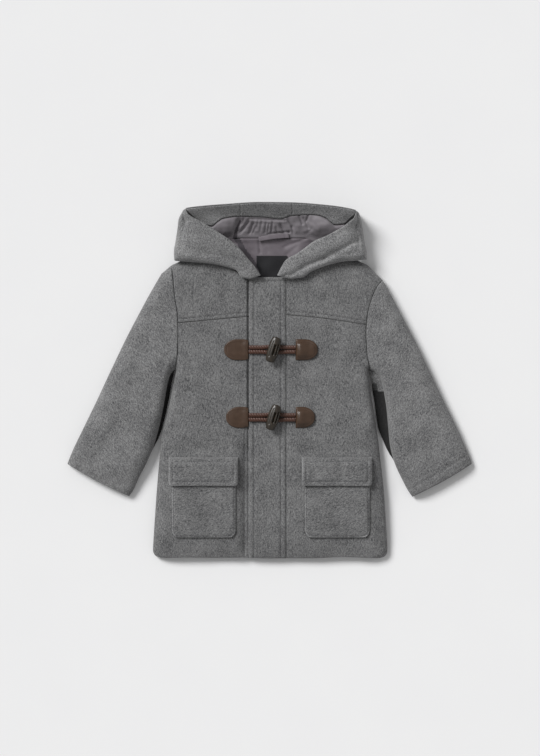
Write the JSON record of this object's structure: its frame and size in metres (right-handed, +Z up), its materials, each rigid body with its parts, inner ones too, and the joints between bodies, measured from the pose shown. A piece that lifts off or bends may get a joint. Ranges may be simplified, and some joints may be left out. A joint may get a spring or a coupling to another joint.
{
  "type": "duffle coat",
  "caption": "Toddler's hooded duffle coat of padded wool flannel, fastened and laid flat, with toggles on leather patches, flap pockets and an open lined hood.",
  "frame": {"origin": "centre of the laid coat's bounding box, on the surface it lies on", "axes": "+X towards the viewer's right as the picture shows it, +Y from the hem to the hood, +Z up from the surface"},
  "size_m": [0.527, 0.462, 0.0448],
  "materials": {
    "wool_flannel": "brushed grey melange wool flannel",
    "lining": "plain woven mauve-grey lining",
    "leather": "dark brown grained leather",
    "leather_cord": "dark brown round cord",
    "horn": "dark brown imitation horn with diagonal grain, satin",
    "label_weave": "black woven label, bare"
  },
  "bodies": {
    "root": {"back": "wool_flannel", "front_left": "wool_flannel", "front_right": "wool_flannel", "yoke_left": "wool_flannel", "yoke_right": "wool_flannel", "placket": "wool_flannel", "sleeve_left": "wool_flannel", "sleeve_right": "wool_flannel", "hood_side_left": "wool_flannel", "hood_side_right": "wool_flannel", "hood_crown": "wool_flannel", "hood_facing_left": "wool_flannel", "hood_facing_centre": "wool_flannel", "hood_facing_right": "wool_flannel", "hood_lining": "lining", "neck_lining": "lining", "neck_label": "label_weave", "hang_loop": "lining", "pocket_left": "wool_flannel", "pocket_right": "wool_flannel", "pocket_flap_left": "wool_flannel", "pocket_flap_right": "wool_flannel", "patch_upper_left": "leather", "patch_upper_right": "leather", "patch_lower_left": "leather", "patch_lower_right": "leather", "loop_cord_upper": "leather_cord", "loop_cord_lower": "leather_cord", "toggle_cord_upper": "leather_cord", "toggle_cord_lower": "leather_cord", "toggle_upper": "horn", "toggle_lower": "horn"}
  },
  "joints": []
}
